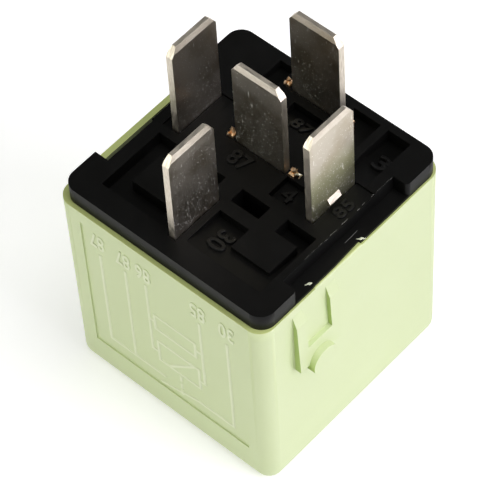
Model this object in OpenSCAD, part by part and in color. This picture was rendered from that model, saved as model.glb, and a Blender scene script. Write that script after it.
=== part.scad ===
// Plug-in automotive relay with five blade terminals: moulded cover, black base plate,
// and the complete coil, armature and contact set inside. Millimetres, +Z towards the terminals.
// The origin is the centre of the cover's closed end face.

/* [Cover] */
// Outer size of the square cover across its side faces
cover_size = 27.0; // [25.5:0.1:30]
// Height of the cover from its closed end to the rim
cover_height = 26.2; // [26:0.1:30]
// Thickness of the cover side walls
wall = 0.7; // [0.6:0.05:0.9]
// Draft: how far each side face leans in between the rim and the closed end
draft = 0.19; // [0.05:0.01:0.3]
// Thickness of the closed end
end_thickness = 1.0; // [0.8:0.05:1.6]
// Radius of the four upright corners
corner_r = 1.8; // [1.2:0.1:2.4]
// Radius round the edges of the closed end
end_r = 1.2; // [0.6:0.1:1.6]
// Depth of the marking panel sunk in the -Y face
panel_depth = 0.16; // [0.1:0.02:0.25]
// Width of the marking panel
panel_width = 21.0; // [16:0.1:22]
// Height of the marking panel
panel_height = 20.0; // [14:0.1:21]
// Distance from the closed end to the panel's lower edge
panel_foot = 4.4; // [3:0.1:6]
// Thickness of the clip pad on the +X face, at its foot
clip_t = 0.8; // [0.5:0.05:1.2]
// Extra height of the snap lug above the clip pad
lug_t = 0.65; // [0.4:0.05:1.1]
// Radius of the snap lug's rounded head
lug_r = 1.75; // [1.4:0.05:2.6]

/* [Base plate] */
// Step from the cover's outer face in to the plate edge, on average
plate_inset = 0.38; // [0.3:0.02:0.5]
// How far the plate stands off-centre towards the clip side
plate_shift = 0.2; // [0:0.05:0.25]
// Thickness of the plate above the cover rim
plate_t = 2.1; // [1.6:0.1:3]
// Depth of the skirt that reaches into the cover
skirt_t = 2.2; // [1.8:0.1:3]
// Play between skirt and cover wall, each side
skirt_gap = 0.1; // [0.05:0.01:0.2]
// Distance from the centre to the inner edge of the side notches
notch_x = 11.5; // [10.8:0.1:11.8]
// Half length of the side notches
notch_half = 8.1; // [6:0.1:9.5]
// Depth of the flat pocket on the plate
pocket_depth = 1.6; // [0.8:0.1:1.8]
// Depth of the label wells at their deep end
well_depth = 1.65; // [0.6:0.05:1.8]

/* [Terminals] */
// Width of a blade
blade_w = 6.3; // [5.8:0.05:6.5]
// Thickness of a blade
blade_t = 0.8; // [0.6:0.05:0.9]
// Length of a blade above the plate
blade_l = 12.0; // [9:0.1:14]
// Height of the tip bevel
bevel_h = 0.7; // [0.5:0.1:1.8]
// Thickness left at the tip
tip_t = 0.46; // [0.26:0.02:0.6]
// Corner cut across the blade width
cut_w = 0.8; // [0.5:0.1:1.6]
// Corner cut along the blade length
cut_h = 1.1; // [0.6:0.1:2]
// Distance between the coil terminals 85 and 86
coil_pitch = 17.4; // [17:0.1:18]
// Y position of the coil terminals and the centre blade
mid_y = 2.15; // [2.1:0.05:2.4]
// Distance from the centre blade to the outer blade 87
pitch_87 = 8.4; // [8.2:0.1:8.8]
// Distance from the centre blade to blade 30
pitch_30 = 10.0; // [9.8:0.1:10.2]
// Play round each blade in the plate
slot_gap = 0.08; // [0.04:0.01:0.12]

/* [Magnet] */
// Thickness of the yoke strip
yoke_t = 1.5; // [1.2:0.05:1.7]
// Width of the yoke
yoke_w = 11.0; // [9:0.1:12]
// Diameter of the core
core_d = 5.0; // [4:0.1:5.4]
// Y position of the core
core_y = -2.5; // [-2.7:0.05:-2.3]
// Outer diameter of the winding
winding_d = 11.8; // [9:0.1:12]
// Side of the square bobbin flanges
flange_size = 12.6; // [12.4:0.1:12.8]
// Thickness of the armature
armature_t = 1.5; // [1.2:0.05:1.6]
// Open gap between armature and core
pole_gap = 0.65; // [0.6:0.05:0.8]

/* [Contacts] */
// Diameter of the contact buttons
contact_d = 3.2; // [2.4:0.1:3.6]
// Open gap between the contacts
contact_gap = 0.95; // [0.94:0.01:1.1]
// Thickness of the contact leaf
leaf_t = 0.25; // [0.15:0.01:0.3]
// Thickness of the copper carrier and bridge strips
strip_t = 0.8; // [0.6:0.05:0.9]

/* [Hidden] */
$fn = 48;
e = 0.01;
half = cover_size / 2;
rim_z = cover_height;
top_z = rim_z + plate_t;
plate_half = half - plate_inset;
skirt_half = half - wall - skirt_gap;
under_z = rim_z - skirt_t;
panel_x = 0.1;
panel_top = panel_foot + panel_height;
clip_y = -6.0;
clip_half = 3.1;
clip_foot = rim_z - 9.8;
clip_top = rim_z - 1.2;
pocket_half = 1.75;
pocket_foot = clip_foot + 2.8;
lug_z = clip_foot - 0.3;
lug_y = clip_y - 0.1;
lug_low = lug_z - lug_r;
notch_r = 0.45;
relief_y0 = -5.7;
relief_y1 = 1.2;
relief_cut = 0.14;
relief_w = 0.46;
lip_t = 0.3;
axis_xy = half - corner_r;
snap_z = rim_z - 1.1;
a_x = -coil_pitch / 2;
e_x = coil_pitch / 2;
b_y = mid_y;
c_y = mid_y + pitch_87;
d_y = mid_y - pitch_30;
stop_t = 0.35;
shoulder_t = 0.9;
shoulder_w = blade_w + 0.6;
yoke_top = under_z - shoulder_t;
yoke_under = yoke_top - yoke_t;
yoke_back = d_y - blade_w / 2 - 0.2;
hinge_y = yoke_back + yoke_t / 2;
arm_top = end_thickness + 4.1;
hinge_z = arm_top + 0.05;
arm_under = arm_top - armature_t;
yoke_foot = arm_top + 0.1;
arm_back = yoke_back + 0.35;
arm_tip = core_y + 4.1;
pole_z = arm_top + pole_gap;
flange_t = 1.0;
flange_r = 1.2;
flange_low = pole_z + 0.35;
flange_top = yoke_under - 0.05;
post_y = mid_y + 1.35;
post_w = 1.4;
post_foot = under_z - 5.0;
lead_z = post_foot + 1.6;
contact_y = core_y + 9.1;
button_t = 0.9;
move_top = arm_under + button_t;
fixed_z = move_top + contact_gap;
carrier_z = fixed_z + 1.1;
carrier_y = c_y - blade_t / 2;
leaf_w = 7.6;
res_y = mid_y + 4.45;
res_z = lead_z;
wire_d = 0.36;
lead_d = 0.5;
lug_x = blade_w / 2 + 0.8;
lug_w = 0.7;

// Rounded rectangle made of straight strips and true arcs.
module rrect(w, d, r) {
  square([w - 2 * r, d], center = true);
  square([w, d - 2 * r], center = true);
  for (sx = [-1, 1]) for (sy = [-1, 1])
    translate([sx * (w / 2 - r), sy * (d / 2 - r)]) circle(r = r);
}

// A flat outline drawn as (y, z), given length along X.
module along_x(x0, x1) {
  translate([x0, 0, 0]) rotate([90, 0, 90]) linear_extrude(height = x1 - x0) children();
}

// A flat outline drawn as (x, z), given length along Y.
module along_y(y0, y1) {
  translate([0, y1, 0]) rotate([90, 0, 0]) linear_extrude(height = y1 - y0) children();
}

// Upright box between two corners.
module box(x0, x1, y0, y1, z0, z1) {
  translate([x0, y0, z0]) cube([x1 - x0, y1 - y0, z1 - z0]);
}

// Cutter whose floor slopes from depth d0 at y0 to depth d1 at y1, below the plate top.
module well(x0, x1, y0, d0, y1, d1) {
  along_x(x0, x1) polygon([[y0, top_z - d0], [y1, top_z - d1], [y1, top_z + 1], [y0, top_z + 1]]);
}

// How far a side face has leaned in at height z.
function lean(z) = draft * (rim_z - z) / rim_z;

// Section through one side, drawn as (reach, z): a leaning face with the rounded edge of the
// closed end tangent to it and to the end face.
module side(reach) {
  tilt = atan(draft / rim_z);
  rise = end_r * (1 - sin(tilt));
  c = reach - lean(0) - rise / cos(tilt);
  translate([c, end_r]) circle(r = end_r);
  polygon([[0, 0], [c, 0], [c, end_r], [c + end_r * cos(tilt), rise], [reach, rim_z], [0, rim_z]]);
}

// Solid outer form of the cover: four leaning sides and four rounded corners.
module cover_form() for (a = [0, 90, 180, 270]) rotate([0, 0, a]) {
  along_y(-axis_xy, axis_xy) side(half);
  translate([axis_xy, axis_xy, 0]) rotate_extrude() intersection() {
    side(corner_r);
    square([corner_r, rim_z]);
  }
}

// Room inside the cover, a wall's thickness in from the leaning sides.
module cavity(z0, z1) {
  h = half - wall;
  for (a = [0, 90]) rotate([0, 0, a]) along_y(-axis_xy, axis_xy)
    polygon([[-h + lean(z0), z0], [h - lean(z0), z0], [h - lean(z1), z1], [-h + lean(z1), z1]]);
  for (sx = [-1, 1]) for (sy = [-1, 1]) translate([sx * axis_xy, sy * axis_xy, z0])
    cylinder(r1 = corner_r - wall - lean(z0), r2 = corner_r - wall - lean(z1), h = z1 - z0);
}

// Cover: thin moulded shell with marking panel, clip pad with its pocket, and snap lug.
module cover() color([0.82, 0.88, 0.67]) {
  difference() {
    union() {
      cover_form();
      // clip pad, running out in a ramp towards the rim, with a pocket open to the rim
      difference() {
        along_y(clip_y - clip_half, clip_y + clip_half)
          polygon([[half - 0.4, clip_foot], [half + clip_t, clip_foot],
                   [half + clip_t * 0.65, clip_top - 1.5], [half - lean(clip_top), clip_top],
                   [half - 0.4, clip_top]]);
        along_y(clip_y - pocket_half, clip_y + pocket_half)
          polygon([[half + clip_t * 0.25, pocket_foot], [half + 3, pocket_foot], [half + 3, clip_top + 1],
                   [half - lean(clip_top), clip_top + 1], [half - lean(clip_top), clip_top - 1.5]]);
      }
      // snap lug: round head with an upright face that runs back to the wall below
      intersection() {
        along_y(lug_y - lug_r, lug_y + lug_r)
          polygon([[half - 0.4, lug_low - 0.1], [half - lean(lug_low), lug_low - 0.1],
                   [half + clip_t + lug_t, lug_z - lug_r * 0.35], [half + clip_t + lug_t, lug_z + lug_r],
                   [half - 0.4, lug_z + lug_r]]);
        translate([half - 0.4, lug_y, lug_z]) rotate([0, 90, 0]) cylinder(r = lug_r, h = 4);
      }
    }
    // eased edge of the rim where the plate's lip is cut back
    along_y(relief_y0, relief_y1)
      polygon([[half - relief_cut - 0.1, rim_z + 0.1], [half + 0.1, rim_z + 0.1],
               [half + 0.1, rim_z - relief_cut - 0.1]]);
    cavity(end_thickness, rim_z + 1);
    // marking panel, sunk parallel to the leaning face
    along_x(panel_x - panel_width / 2, panel_x + panel_width / 2)
      polygon([[-half - 1, panel_foot], [-half + lean(panel_foot) + panel_depth, panel_foot],
               [-half + lean(panel_top) + panel_depth, panel_top], [-half - 1, panel_top]]);
    // grooves for the base's snap ridges
    for (s = [-1, 1]) scale([1, s, 1])
      box(-4.6, 4.6, skirt_half - e, half - wall + 0.3, snap_z - 0.55, snap_z + 0.55);
  }
}

// Blade cutter outline seen along its length, with play.
module slot(x, y, w, t) {
  box(x - w / 2 - slot_gap, x + w / 2 + slot_gap, y - t / 2 - slot_gap, y + t / 2 + slot_gap,
      under_z - 1, top_z + 1);
}

// Base plate with side notches, label wells, skirt and terminal slots.
module base() color([0.09, 0.09, 0.09]) {
  difference() {
    union() {
      // upper plate, narrowed by the notches
      difference() {
        translate([plate_shift, plate_shift / 2, rim_z]) linear_extrude(height = plate_t)
          rrect(plate_half * 2, plate_half * 2, corner_r - 0.1);
        box(notch_x + 0.05, plate_half + 1, -notch_half, notch_half + 0.1, rim_z + lip_t, top_z + 1);
        // lip cut back over the eased edge of the cover's rim
        translate([0, 0, rim_z - 1]) linear_extrude(height = plate_t + 2)
          polygon([[half - relief_w / 2, relief_y0], [half - relief_w / 2 - 0.03, relief_y0 + 3.2],
                   [half - relief_w, relief_y1], [half + 1, relief_y1], [half + 1, relief_y0]]);
        // rounded corners where the clip-side notch opens
        for (sy = [-1, 1])
          translate([plate_half + plate_shift, sy * notch_half + (sy > 0 ? 0.1 : 0), rim_z + lip_t])
            scale([1, sy, 1]) difference() {
              translate([-notch_r, -e, 0]) cube([notch_r + 1, notch_r + e, plate_t + 2]);
              translate([-notch_r, notch_r, -1]) cylinder(r = notch_r, h = plate_t + 4);
            }
        box(-plate_half - 1, -notch_x + 0.3, -notch_half, -1.5, rim_z - 1, top_z + 1);
        box(-plate_half - 1, -notch_x + 0.1, -1.5 - e, notch_half + 0.1, rim_z - 1, top_z + 1);
      }
      // skirt inside the cover
      difference() {
        translate([0, 0, under_z]) linear_extrude(height = skirt_t + e)
          rrect(skirt_half * 2, skirt_half * 2, corner_r - wall);
        box(-skirt_half - 1, -notch_x + 0.3, -notch_half, notch_half + 0.1,
            rim_z - 1.2, rim_z + 1);
      }
      // snap ridges
      for (s = [-1, 1]) scale([1, s, 1]) along_x(-4.5, 4.5)
        polygon([[skirt_half - e, snap_z - 0.45], [skirt_half + 0.28, snap_z + 0.1],
                 [skirt_half + 0.28, snap_z + 0.3], [skirt_half - e, snap_z + 0.45]]);
    }
    // deep test opening
    box(1.3, 4.9, -4.1, -2.3, top_z - 3.2, top_z + 1);
    // flat pocket on the -X side, round its island
    difference() {
      box(-9.7, -0.9, -10.6, -2.3, top_z - pocket_depth, top_z + 1);
      box(-7.7, -3.4, -8.4, -4.3, top_z - pocket_depth - 1, top_z - 0.08);
    }
    // one sloping well round the raised pad
    intersection() {
      well(1.3, 10.75, -10.5, 0, -2.3, well_depth);
      union() {
        box(1.3, 5.06, -10.6, -5.6, top_z - 3, top_z + 2);
        box(5.05, 10.75, -10.6, -8.25, top_z - 3, top_z + 2);
        box(9.95, 10.75, -8.3, -2.3, top_z - 3, top_z + 2);
        box(7.1, 9.96, -4.2, -2.3, top_z - 3, top_z + 2);
      }
    }
    // wells beside the outer blade 87
    well(7.45, 10.3, 5.6, 0.3, 12.3, well_depth);
    well(3.1, 6.5, 6.0, 0.2, 12.3, well_depth * 0.72);
    well(-6.6, -4.7, 6.6, 0.2, 12.3, well_depth * 0.72);
    // label wells of the two blades 87 and of 86
    well(-2.0, 1.8, 6.4, 0.25, 9.1, 1.1);
    box(3.62, 7.6, -1.2, 1.65, top_z - 0.85, top_z + 1);
    // shallow seats round the coil terminals
    box(7.59, notch_x + 1, -1.2, 5.4, top_z - 0.25, top_z + 1);
    box(-10.2, -6.7, -1.3, 5.4, top_z - 0.25, top_z + 1);
    // terminal slots
    slot(a_x, mid_y, blade_t, blade_w);
    slot(e_x, mid_y, blade_t, blade_w);
    slot(0, d_y, blade_t, blade_w);
    slot(0, b_y, blade_w, blade_t);
    slot(0, c_y, blade_w, blade_t);
    // holes for the bridge lugs
    for (s = [-1, 1]) for (y = [b_y, c_y]) slot(s * lug_x, y, lug_w, lug_w);
  }
}

// Blade drawn with its width along X, foot at the underside of the base, root reaching down.
module blade(root_w, root_l, drop = 0) {
  z0 = under_z - drop;
  intersection() {
    along_y(-blade_t, blade_t)
      polygon([[-blade_w / 2, z0], [-blade_w / 2, top_z + blade_l - cut_h],
               [-blade_w / 2 + cut_w, top_z + blade_l], [blade_w / 2 - cut_w, top_z + blade_l],
               [blade_w / 2, top_z + blade_l - cut_h], [blade_w / 2, z0]]);
    along_x(-blade_w, blade_w)
      polygon([[-blade_t / 2, z0], [-blade_t / 2, top_z + blade_l - bevel_h],
               [-tip_t / 2, top_z + blade_l], [tip_t / 2, top_z + blade_l],
               [blade_t / 2, top_z + blade_l - bevel_h], [blade_t / 2, z0]]);
  }
  box(-shoulder_w / 2, shoulder_w / 2, -blade_t / 2, blade_t / 2, z0 - shoulder_t, z0 + e);
  if (root_l > 0)
    box(-root_w / 2, root_w / 2, -blade_t / 2, blade_t / 2, z0 - shoulder_t - root_l, z0 - shoulder_t + e);
}

// Coil terminal: blade across Y with a narrow soldering post below.
module coil_terminal(x) {
  translate([x, mid_y, 0]) rotate([0, 0, 90]) blade(0, 0);
  box(x - blade_t / 2, x + blade_t / 2, post_y - post_w / 2, post_y + post_w / 2,
      post_foot, under_z - shoulder_t + e);
}

module terminal_85() color([0.75, 0.73, 0.70]) {
  coil_terminal(e_x);
  // short stop pressed out of the blade near its foot
  along_y(mid_y - 0.9, mid_y + 0.8)
    polygon([[e_x + blade_t / 2 - e, top_z + 0.5], [e_x + blade_t / 2 + stop_t, top_z + 0.5],
             [e_x + blade_t / 2 + stop_t, top_z + 0.6], [e_x + blade_t / 2, top_z + 1.2],
             [e_x + blade_t / 2 - e, top_z + 1.2]]);
}

module terminal_86() color([0.75, 0.73, 0.70]) coil_terminal(a_x);

module terminal_30() color([0.75, 0.73, 0.70])
  translate([0, d_y, 0]) rotate([0, 0, 90]) blade(0, 0);

module terminal_87_centre() color([0.75, 0.73, 0.70]) translate([0, b_y, 0]) blade(0, 0, strip_t);

module terminal_87() color([0.75, 0.73, 0.70]) translate([0, c_y, 0]) blade(4.4, 2.6, strip_t);

// Side view of a staked lug end: spread at the foot, narrowed at the top.
module lug_head() polygon([[-lug_w * 0.58, top_z], [lug_w * 0.58, top_z], [lug_w * 0.52, top_z + 0.3],
                           [lug_w * 0.3, top_z + 0.55], [-lug_w * 0.3, top_z + 0.55],
                           [-lug_w * 0.52, top_z + 0.3]]);

// Copper bridge joining both blades 87, its four lugs staked over on the plate.
module bridge_87() color([0.80, 0.47, 0.25]) {
  difference() {
    box(-lug_x - 0.6, lug_x + 0.6, b_y - 0.9, c_y + 0.9, under_z - strip_t, under_z);
    box(-2.6, 2.6, b_y + 1.2, c_y - 1.2, under_z - 2, under_z + 1);
    slot(0, b_y, blade_w, blade_t);
    slot(0, c_y, blade_w, blade_t);
  }
  for (s = [-1, 1]) for (y = [b_y, c_y]) {
    box(s * lug_x - lug_w / 2, s * lug_x + lug_w / 2, y - lug_w / 2, y + lug_w / 2,
        under_z - e, top_z + 0.1);
    translate([s * lug_x, y, 0]) intersection() {
      along_x(-lug_w * 0.58, lug_w * 0.58) lug_head();
      rotate([0, 0, 90]) along_x(-lug_w * 0.58, lug_w * 0.58) lug_head();
    }
  }
}

// Bent copper strip that carries the fixed contact.
module contact_carrier() color([0.80, 0.47, 0.25]) difference() {
  union() {
    box(-2.5, 2.5, carrier_y - strip_t, carrier_y, carrier_z, under_z - strip_t - shoulder_t - 0.2);
    box(-2.5, 2.5, contact_y - 2.2, carrier_y, carrier_z, carrier_z + strip_t);
  }
  translate([0, contact_y, carrier_z - 1]) cylinder(d = 1.62, h = 3);
  translate([0, carrier_y + 1, under_z - strip_t - shoulder_t - 1.5]) rotate([90, 0, 0])
    cylinder(d = 1.62, h = 4);
}

// Rivet holding the carrier against the root of the outer blade 87.
module carrier_rivet() color([0.80, 0.47, 0.25])
  translate([0, carrier_y - strip_t, under_z - strip_t - shoulder_t - 1.5]) {
    rotate([90, 0, 0]) cylinder(d = 2.6, h = 0.45);
    rotate([-90, 0, 0]) cylinder(d = 1.6, h = strip_t);
  }

module fixed_contact() color([0.85, 0.85, 0.83]) translate([0, contact_y, 0]) {
  translate([0, 0, fixed_z]) cylinder(d = contact_d, h = carrier_z - fixed_z);
  translate([0, 0, carrier_z - e]) cylinder(d = 1.6, h = strip_t + 2 * e);
  translate([0, 0, carrier_z + strip_t]) cylinder(d = 2.4, h = 0.4);
}

module moving_contact() color([0.85, 0.85, 0.83]) translate([0, contact_y, 0]) {
  translate([0, 0, arm_under]) cylinder(d = contact_d, h = button_t);
  translate([0, 0, arm_under - leaf_t - e]) cylinder(d = 1.6, h = leaf_t + 2 * e);
  translate([0, 0, arm_under - leaf_t - 0.4]) cylinder(d = 2.4, h = 0.4);
}

// Flat leaf under the armature that carries the moving contact.
module contact_leaf() color([0.78, 0.62, 0.38]) difference() {
  union() {
    box(-leaf_w / 2, leaf_w / 2, arm_back + 0.02, arm_tip, arm_under - leaf_t, arm_under);
    translate([0, 0, arm_under - leaf_t]) linear_extrude(height = leaf_t)
      polygon([[-leaf_w / 2, arm_tip - e], [leaf_w / 2, arm_tip - e], [2.1, arm_tip + 3],
               [2.1, contact_y + 2], [-2.1, contact_y + 2], [-2.1, arm_tip + 3]]);
  }
  translate([0, contact_y, arm_under - 1]) cylinder(d = 1.62, h = 3);
  for (s = [-1, 1]) translate([s * 2.4, core_y + 2.2, arm_under - 1]) cylinder(d = 1.32, h = 3);
}

// Spring bend from the yoke's back round to the armature.
module hinge_spring() color([0.78, 0.62, 0.38]) difference() {
  along_x(-leaf_w / 2, leaf_w / 2) {
    translate([yoke_back - leaf_t, arm_under + 0.3]) square([leaf_t, 10]);
    intersection() {
      translate([yoke_back + 0.3, arm_under + 0.3]) difference() {
        circle(r = 0.3 + leaf_t);
        circle(r = 0.3);
      }
      translate([yoke_back - 1, arm_under - 1]) square([1.3, 1.3 + e]);
    }
  }
  for (s = [-1, 1]) translate([s * 2.2, yoke_back + 1, arm_under + 7.5]) rotate([90, 0, 0])
    cylinder(d = 1.32, h = 3);
}

module armature() color([0.62, 0.63, 0.64]) difference() {
  box(-4.9, 4.9, arm_back, arm_tip, arm_under, arm_top);
  for (s = [-1, 1]) translate([s * 2.4, core_y + 2.2, arm_under - 1]) cylinder(d = 1.32, h = 4);
}

module armature_rivets() color([0.62, 0.63, 0.64])
  for (s = [-1, 1]) translate([s * 2.4, core_y + 2.2, 0]) {
    translate([0, 0, arm_under - leaf_t - 0.4]) cylinder(d = 2.2, h = 0.4);
    translate([0, 0, arm_under - leaf_t - e]) cylinder(d = 1.3, h = armature_t + leaf_t);
  }

// L-shaped yoke with a rounded outer bend.
module yoke() color([0.62, 0.63, 0.64]) difference() {
  along_x(-yoke_w / 2, yoke_w / 2) {
    translate([yoke_back, yoke_foot]) square([yoke_t, yoke_top - yoke_foot - yoke_t]);
    translate([yoke_back + yoke_t, yoke_under]) square([core_y + 3.6 - yoke_back - yoke_t, yoke_t]);
    intersection() {
      translate([yoke_back + yoke_t, yoke_under]) circle(r = yoke_t);
      translate([yoke_back, yoke_under - e]) square([yoke_t + e, yoke_t + e]);
    }
  }
  translate([0, core_y, yoke_under - 1]) cylinder(d = 2.84, h = 4);
  for (s = [-1, 1]) translate([s * 2.2, yoke_back + 3, arm_under + 7.5]) rotate([90, 0, 0])
    cylinder(d = 1.32, h = 4);
}

module yoke_rivets() color([0.62, 0.63, 0.64])
  for (s = [-1, 1]) translate([s * 2.2, yoke_back - leaf_t, arm_under + 7.5]) {
    rotate([90, 0, 0]) cylinder(d = 2.2, h = 0.4);
    rotate([-90, 0, 0]) cylinder(d = 1.3, h = yoke_t + leaf_t - 0.05);
  }

module core() color([0.62, 0.63, 0.64]) translate([0, core_y, 0]) {
  translate([0, 0, pole_z]) cylinder(d = core_d, h = yoke_under - pole_z);
  translate([0, 0, yoke_under - e]) cylinder(d = 2.8, h = yoke_t + 2 * e);
  translate([0, 0, yoke_top]) cylinder(d = 3.4, h = 0.6);
}

module bobbin() color([0.16, 0.16, 0.17]) translate([0, core_y, 0]) difference() {
  union() {
    translate([0, 0, flange_low]) linear_extrude(height = flange_t)
      rrect(flange_size, flange_size, flange_r);
    translate([0, 0, flange_top - flange_t]) linear_extrude(height = flange_t)
      rrect(flange_size, flange_size, flange_r);
    translate([0, 0, flange_low]) cylinder(d = core_d + 1.8, h = flange_top - flange_low);
  }
  translate([0, 0, flange_low - 1]) cylinder(d = core_d + 0.1, h = 30);
}

module winding() color([0.72, 0.36, 0.16]) translate([0, core_y, flange_low + flange_t]) difference() {
  cylinder(d = winding_d, h = flange_top - flange_low - 2 * flange_t);
  translate([0, 0, -1]) cylinder(d = core_d + 1.8, h = 30);
}

module coil_tape() color([0.85, 0.74, 0.42])
  translate([0, core_y, flange_low + flange_t + 0.4]) difference() {
    cylinder(d = winding_d + 0.3, h = flange_top - flange_low - 2 * flange_t - 0.8);
    translate([0, 0, -1]) cylinder(d = winding_d, h = 30);
  }

// Frame under the bobbin that stops the leaf in the open position.
module rest_stop() color([0.16, 0.16, 0.17]) {
  y1 = core_y + flange_size / 2 - 0.1;
  for (s = [-1, 1])
    box(s * 5.5 - 0.6, s * 5.5 + 0.6, y1 - 1.3, y1, arm_under - leaf_t - 1.0, flange_low);
  box(-5.5, 5.5, y1 - 1.3, y1, arm_under - leaf_t - 1.0, arm_under - leaf_t - 0.05);
}

// Fine wire from the winding to a post, ending in turns round the post.
module coil_lead(s) {
  x0 = s * (flange_size / 2 - 0.9);
  x1 = s * coil_pitch / 2;
  y0 = core_y + flange_size / 2;
  z1 = post_foot + 0.45;
  translate([x1, post_y, post_foot + 0.1]) difference() {
    cylinder(r = 1.18, h = 0.9);
    translate([0, 0, -1]) cylinder(r = 0.84, h = 3);
  }
  translate([x0 - s * wire_d / 2, y0 + 0.3, z1]) rotate([0, s * 90, 0])
    cylinder(d = wire_d, h = s * (x1 - x0) - 1.0 + wire_d / 2);
  translate([x0, core_y + winding_d / 2 - 1.6, z1]) rotate([-90, 0, 0])
    cylinder(d = wire_d, h = y0 + 0.3 + wire_d / 2 - core_y - winding_d / 2 + 1.6);
}

module coil_lead_start() color([0.72, 0.36, 0.16]) coil_lead(-1);

module coil_lead_end() color([0.72, 0.36, 0.16]) coil_lead(1);

module resistor_body() color([0.30, 0.45, 0.62]) translate([0, res_y, res_z]) rotate([0, 90, 0]) {
  cylinder(d = 2.2, h = 6.2, center = true);
  for (s = [-1, 1]) translate([0, 0, s * 2.5]) cylinder(d = 2.5, h = 1.2, center = true);
}

module resistor_leads() color([0.78, 0.77, 0.75]) for (s = [-1, 1]) {
  translate([s * 3.1, res_y, res_z]) rotate([0, s * 90, 0])
    cylinder(d = lead_d, h = coil_pitch / 2 - 3.1 + lead_d / 2);
  translate([s * coil_pitch / 2, post_y + post_w / 2, res_z]) rotate([-90, 0, 0])
    cylinder(d = lead_d, h = res_y + lead_d / 2 - post_y - post_w / 2);
}

cover();
base();
terminal_30();
terminal_85();
terminal_86();
terminal_87();
terminal_87_centre();
bridge_87();
contact_carrier();
carrier_rivet();
fixed_contact();
moving_contact();
contact_leaf();
hinge_spring();
armature();
armature_rivets();
yoke();
yoke_rivets();
core();
bobbin();
winding();
coil_tape();
rest_stop();
coil_lead_start();
coil_lead_end();
resistor_body();
resistor_leads();
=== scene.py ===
# %% [markdown]
# # An automotive relay, dressed for a studio picture
# The relay is a square cover of pale green nylon, a black base plate pushed into its
# open end, and five tinned blades. The solid pieces arrive from the CAD model in
# metres, with +Z along the blades. This lesson gives each of them its real finish and
# adds what a moulder or a press leaves on top: raised numbers, a raised wiring
# diagram, burrs and staked copper lugs.

# %% Load the frame
import math
import random
import bmesh
import bpy
from mathutils import Matrix, Vector


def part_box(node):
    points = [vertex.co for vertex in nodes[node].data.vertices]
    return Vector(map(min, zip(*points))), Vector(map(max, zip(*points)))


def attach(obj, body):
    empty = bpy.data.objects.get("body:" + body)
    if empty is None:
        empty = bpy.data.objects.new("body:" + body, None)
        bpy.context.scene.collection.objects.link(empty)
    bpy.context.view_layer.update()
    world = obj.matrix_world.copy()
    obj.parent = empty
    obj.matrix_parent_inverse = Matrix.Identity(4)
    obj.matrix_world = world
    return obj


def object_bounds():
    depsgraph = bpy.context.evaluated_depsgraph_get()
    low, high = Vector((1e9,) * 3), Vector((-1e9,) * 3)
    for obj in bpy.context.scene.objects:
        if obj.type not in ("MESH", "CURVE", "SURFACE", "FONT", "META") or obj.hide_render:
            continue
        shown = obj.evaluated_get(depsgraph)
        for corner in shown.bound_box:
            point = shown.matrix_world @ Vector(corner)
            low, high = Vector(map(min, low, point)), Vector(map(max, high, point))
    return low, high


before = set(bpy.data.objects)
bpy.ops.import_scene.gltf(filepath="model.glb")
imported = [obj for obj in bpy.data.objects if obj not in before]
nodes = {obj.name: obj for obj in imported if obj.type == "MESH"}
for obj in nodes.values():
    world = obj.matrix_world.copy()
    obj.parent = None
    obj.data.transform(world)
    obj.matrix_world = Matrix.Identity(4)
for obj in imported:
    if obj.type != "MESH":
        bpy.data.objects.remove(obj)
cad_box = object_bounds()
MM = 0.001
BODY = "relay_body"            # everything added here stays with the case
print("CAD nodes:", len(nodes), "box:", [[round(c / MM, 2) for c in p] for p in cad_box])

# %% [markdown]
# Sizes come from the CAD nodes themselves, so the added pieces sit where the solids
# say. The cover's box gives its side faces, and the base plate's box gives its top. The
# rim of the cover lies a fixed step below that.

# %% Read the sizes
def extent(name):
    low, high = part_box(name)
    return Vector(low) / MM, Vector(high) / MM

PLATE_STANDS_OUT = 2.1         # how far the plate's top is above the cover's rim
SIDE = -extent("cover")[0].y   # distance from the middle to a side face
TOP = extent("base")[1].z      # the plate's top
RIM = TOP - PLATE_STANDS_OUT   # the cover's rim
print("side face", round(SIDE, 2), "rim", round(RIM, 2), "plate top", round(TOP, 2))

# %% [markdown]
# The cover's sides lean a little, as the sides of every moulding do, so that it leaves
# its mould. Two rays shot at the sunk panel say where its floor is at two heights, and
# everything that stands on the panel follows the line between them.

# %% Find the panel's floor
PROBE_X, RUN_UP = -6.5, 5      # a bare strip of the panel, and a start outside the relay
LOW, HIGH = 7.0, 19.0

def panel_hit(height):
    start = Vector((PROBE_X, -SIDE - RUN_UP, height)) * MM
    return nodes["cover"].ray_cast(start, Vector((0, 1, 0)))[1].y / MM

PANEL_AT_HIGH = panel_hit(HIGH)
LEAN = (panel_hit(LOW) - PANEL_AT_HIGH) / (HIGH - LOW)

def panel_floor(height):
    return PANEL_AT_HIGH + LEAN * (HIGH - height)

print("panel floor at the rim", round(panel_floor(RIM), 3), "lean", round(LEAN, 4), "mm per mm")

# %% [markdown]
# Colours are written as sRGB hex values, the way a colour chart gives them. Blender
# works in linear light, so one function converts them. One more function adds a
# shader node with its settings and its links, and every material below is made of it.
# A colour Mix node takes its share at input 0 and its two colours at 6 and 7, and gives
# the mixed colour at output 2.

# %% Colours and nodes
def linear(hex_code):
    rgb = [int(hex_code[i:i + 2], 16) / 255 for i in (1, 3, 5)]
    return [c / 12.92 if c <= 0.04045 else ((c + 0.055) / 1.055) ** 2.4 for c in rgb] + [1]

def add(tree, kind, inputs=None, **settings):
    made = tree.nodes.new(kind)
    for key, value in settings.items():
        setattr(made, key, value)
    for key, value in (inputs or {}).items():
        if isinstance(value, bpy.types.NodeSocket):
            tree.links.new(value, made.inputs[key])
        else:
            made.inputs[key].default_value = value
    return made

print("mid grey #808080 is", round(linear("#808080")[0], 3), "in linear light")

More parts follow.
